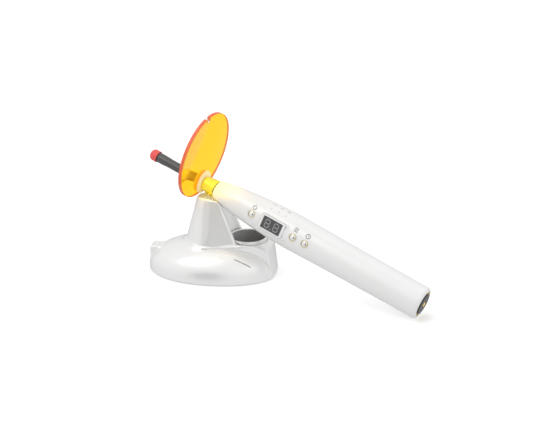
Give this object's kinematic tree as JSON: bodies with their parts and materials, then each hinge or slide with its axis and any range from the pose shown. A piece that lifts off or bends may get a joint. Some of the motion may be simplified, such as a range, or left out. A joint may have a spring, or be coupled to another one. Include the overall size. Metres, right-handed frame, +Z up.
{
  "type": "dental curing light",
  "caption": "Cordless dental curing light lying in the cradle of its charging base, with an amber eye shield, a pull-out light guide and a docking well.",
  "frame": {"origin": "Under the middle of the charging base, on the plane of its anti-slip pad.", "axes": "X runs along the base from the power inlet end (-X) to the docking well (+X) and Z is up. The handpiece lies in the cradle with its light guide towards -X and +Y, and its tail towards +X and -Y."},
  "size_m": [0.2475, 0.1098, 0.1398],
  "materials": {
    "base_silver": "satin silver-white moulded plastic",
    "base_dark": "fine matte moulded plastic",
    "pad_rubber": "matte soft rubber",
    "screw_steel": "zinc plated steel",
    "ballast_iron": "plain cast iron",
    "board_green": "fibreglass circuit board with solder mask",
    "dock_plastic": "glossy moulded plastic",
    "black_plastic": "matte black plastic",
    "light_pipe": "smoked clear plastic",
    "clear_lens": "clear plastic light pipe",
    "contact_gold": "gold plated brass",
    "spring_steel": "drawn spring wire",
    "body_white": "glossy pearl silver-white lacquer on plastic",
    "display_dark": "glossy dark display face",
    "segment_grey": "unlit display segments",
    "ring_gilt": "polished gilt ring",
    "button_metal": "polished metal dome",
    "socket_aluminium": "turned aluminium",
    "lens_glass": "clear moulded glass lens",
    "emitter_white": "white ceramic emitter carrier",
    "cell_blue": "shrink sleeved metal can",
    "ferrule_gold": "polished gold plated brass",
    "guide_grey": "glossy dark grey sleeve",
    "fibre_glass": "fused glass fibre rod",
    "grommet_cream": "translucent cream silicone",
    "shield_amber": "clear amber acrylic with a red-orange edge",
    "cap_coral": "coral red silicone"
  },
  "bodies": {
    "base": {"base_shell": "base_silver", "base_plate": "base_dark", "anti_slip_pad": "pad_rubber", "base_screws": "screw_steel", "ballast_weight": "ballast_iron", "charging_board": "board_green", "dock_cup": "dock_plastic", "dc_inlet": "black_plastic", "indicator_window": "light_pipe", "status_lenses": "clear_lens", "contact_springs": "spring_steel"},
    "centre_contact": {"centre_pin": "contact_gold"},
    "ring_contact": {"ring_pin": "contact_gold"},
    "handpiece": {"body_shell": "body_white", "display_bezel": "body_white", "display_face": "display_dark", "display_segments": "segment_grey", "display_module": "black_plastic", "button_rings": "ring_gilt", "tact_switches": "black_plastic", "mode_lenses": "clear_lens", "circuit_board": "board_green", "guide_socket": "socket_aluminium", "collimator_lens": "lens_glass", "led_emitter": "emitter_white", "heat_sink": "socket_aluminium", "battery_stop": "emitter_white", "battery_cell": "cell_blue", "battery_spring": "spring_steel", "contact_ring": "contact_gold", "tail_plug": "black_plastic", "tail_contact": "contact_gold", "tail_seal": "pad_rubber"},
    "power": {"power_button": "button_metal"},
    "mode": {"mode_button": "button_metal"},
    "time": {"time_button": "button_metal"},
    "seal_ring": {"guide_oring": "pad_rubber"},
    "light_guide": {"guide_ferrule": "ferrule_gold", "guide_sleeve": "guide_grey", "fibre_core": "fibre_glass"},
    "grommet": {"shield_grommet": "grommet_cream"},
    "shield": {"shield_disc": "shield_amber"},
    "cap": {"tip_cap": "cap_coral"}
  },
  "joints": [
    {"name": "handpiece_lift", "type": "slide", "parent": "base", "child": "handpiece", "axis": [0, 0, 1], "range_m": [0, 0.12]},
    {"name": "power_press", "type": "slide", "parent": "handpiece", "child": "power", "axis": [0.2313, 0.9367, -0.2629], "range_m": [0, 0.0005], "stiffness_N_per_m": 600, "springref_m": -0.0005},
    {"name": "mode_press", "type": "slide", "parent": "handpiece", "child": "mode", "axis": [0.2313, 0.9367, -0.2629], "range_m": [0, 0.0005], "stiffness_N_per_m": 600, "springref_m": -0.0005},
    {"name": "time_press", "type": "slide", "parent": "handpiece", "child": "time", "axis": [0.2313, 0.9367, -0.2629], "range_m": [0, 0.0005], "stiffness_N_per_m": 600, "springref_m": -0.0005},
    {"name": "guide_pull", "type": "slide", "parent": "handpiece", "child": "seal_ring", "axis": [-0.9028, 0.3074, 0.3007], "range_m": [0, 0.03]},
    {"name": "guide_turn", "type": "hinge", "parent": "seal_ring", "child": "light_guide", "pos_m": [0.0066, 0.0005, 0.0721], "axis": [-0.9028, 0.3074, 0.3007], "range_deg": [-25, 75]},
    {"name": "shield_slide", "type": "slide", "parent": "light_guide", "child": "grommet", "axis": [-0.9028, 0.3074, 0.3007], "range_m": [0, 0.028]},
    {"name": "shield_spin", "type": "hinge", "parent": "grommet", "child": "shield", "pos_m": [-0.00834, 0.00559, 0.07708], "axis": [-0.9331, 0.2721, 0.2352], "range_deg": [-15, 60]},
    {"name": "cap_pull", "type": "slide", "parent": "light_guide", "child": "cap", "axis": [-0.9028, 0.3074, 0.3007], "range_m": [0, 0.02]},
    {"name": "centre_pin_press", "type": "slide", "parent": "base", "child": "centre_contact", "axis": [0.3256, 0, -0.9455], "range_m": [0, 0.0015], "stiffness_N_per_m": 200, "springref_m": -0.001, "deforming": ["contact_springs"]},
    {"name": "ring_pin_press", "type": "slide", "parent": "base", "child": "ring_contact", "axis": [0.3256, 0, -0.9455], "range_m": [0, 0.0015], "stiffness_N_per_m": 200, "springref_m": -0.001, "deforming": ["contact_springs"]}
  ]
}
